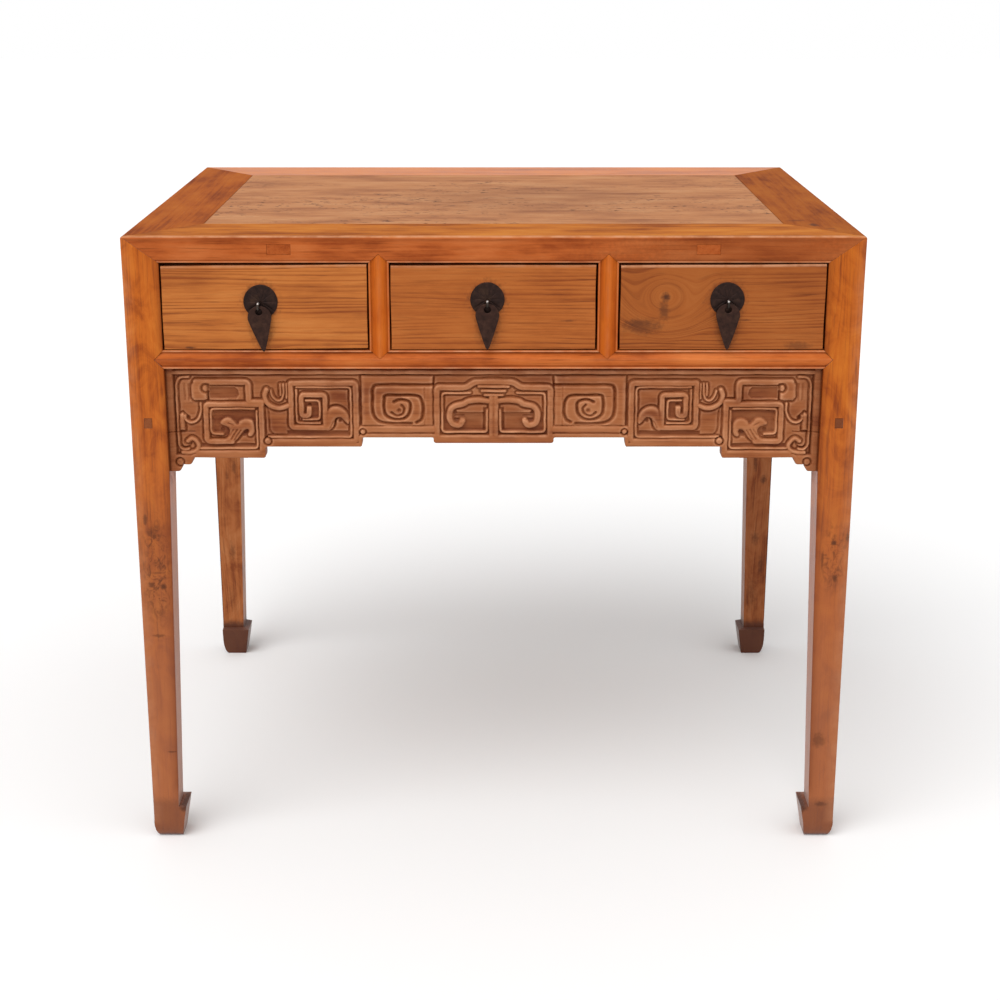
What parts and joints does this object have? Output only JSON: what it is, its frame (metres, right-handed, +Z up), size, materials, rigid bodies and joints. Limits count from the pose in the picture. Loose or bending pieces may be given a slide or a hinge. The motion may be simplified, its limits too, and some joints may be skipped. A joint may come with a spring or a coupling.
{
  "type": "side table",
  "caption": "Chinese elm side table: framed panel top, drawers in a row with iron leaf-shaped drops, stepped fretwork apron and square tapered legs on inward hoof feet.",
  "frame": {"origin": "on the floor, under the centre of the bounding box, pulls included", "axes": "+X to the right seen from the front, +Y from the drawers to the back, +Z up"},
  "size_m": [0.95, 0.677, 0.852],
  "materials": {
    "frame_elm": "worn satin wax",
    "panel_elm": "worn satin wax",
    "drawer_front_elm": "worn satin wax",
    "apron_elm": "dark satin wax",
    "inner_softwood": "bare, planed",
    "pull_iron": "dark forged iron"
  },
  "bodies": {
    "frame": {"back_apron": "frame_elm", "back_panel": "inner_softwood", "back_rail": "frame_elm", "divider_left": "frame_elm", "divider_right": "frame_elm", "front_apron": "apron_elm", "front_drawer_rail": "frame_elm", "guide_middle_left": "inner_softwood", "guide_middle_right": "inner_softwood", "guide_side_left": "inner_softwood", "guide_side_right": "inner_softwood", "leg_back_left": "frame_elm", "leg_back_right": "frame_elm", "leg_front_left": "frame_elm", "leg_front_right": "frame_elm", "runner_middle_left": "inner_softwood", "runner_middle_right": "inner_softwood", "runner_side_left": "inner_softwood", "runner_side_right": "inner_softwood", "side_apron_left": "frame_elm", "side_apron_right": "frame_elm", "side_panel_left": "frame_elm", "side_panel_right": "frame_elm", "side_rail_left": "frame_elm", "side_rail_right": "frame_elm", "top_brace_left": "inner_softwood", "top_brace_right": "inner_softwood", "top_frame_back": "frame_elm", "top_frame_front": "frame_elm", "top_frame_left": "frame_elm", "top_frame_right": "frame_elm", "top_panel": "panel_elm"},
    "drawer_left": {"drawer_left_back": "inner_softwood", "drawer_left_bottom": "inner_softwood", "drawer_left_front": "drawer_front_elm", "drawer_left_pull_pin": "pull_iron", "drawer_left_pull_plate": "pull_iron", "drawer_left_side_left": "inner_softwood", "drawer_left_side_right": "inner_softwood"},
    "pull_left": {"drawer_left_pull_drop": "pull_iron"},
    "drawer_middle": {"drawer_middle_back": "inner_softwood", "drawer_middle_bottom": "inner_softwood", "drawer_middle_front": "drawer_front_elm", "drawer_middle_pull_pin": "pull_iron", "drawer_middle_pull_plate": "pull_iron", "drawer_middle_side_left": "inner_softwood", "drawer_middle_side_right": "inner_softwood"},
    "pull_middle": {"drawer_middle_pull_drop": "pull_iron"},
    "drawer_right": {"drawer_right_back": "inner_softwood", "drawer_right_bottom": "inner_softwood", "drawer_right_front": "drawer_front_elm", "drawer_right_pull_pin": "pull_iron", "drawer_right_pull_plate": "pull_iron", "drawer_right_side_left": "inner_softwood", "drawer_right_side_right": "inner_softwood"},
    "pull_right": {"drawer_right_pull_drop": "pull_iron"}
  },
  "joints": [
    {"name": "drawer_left_slide", "type": "slide", "parent": "frame", "child": "drawer_left", "axis": [0, -1, 0], "range_m": [0, 0.45]},
    {"name": "drawer_middle_slide", "type": "slide", "parent": "frame", "child": "drawer_middle", "axis": [0, -1, 0], "range_m": [0, 0.45]},
    {"name": "drawer_right_slide", "type": "slide", "parent": "frame", "child": "drawer_right", "axis": [0, -1, 0], "range_m": [0, 0.45]},
    {"name": "pull_left_swing", "type": "hinge", "parent": "drawer_left", "child": "pull_left", "pos_m": [-0.30167, -0.33285, 0.7625], "axis": [-1, 0, 0], "range_deg": [0, 120]},
    {"name": "pull_middle_swing", "type": "hinge", "parent": "drawer_middle", "child": "pull_middle", "pos_m": [-0.008, -0.33285, 0.7655], "axis": [-1, 0, 0], "range_deg": [0, 120]},
    {"name": "pull_right_swing", "type": "hinge", "parent": "drawer_right", "child": "pull_right", "pos_m": [0.30067, -0.33285, 0.7655], "axis": [-1, 0, 0], "range_deg": [0, 120]}
  ]
}
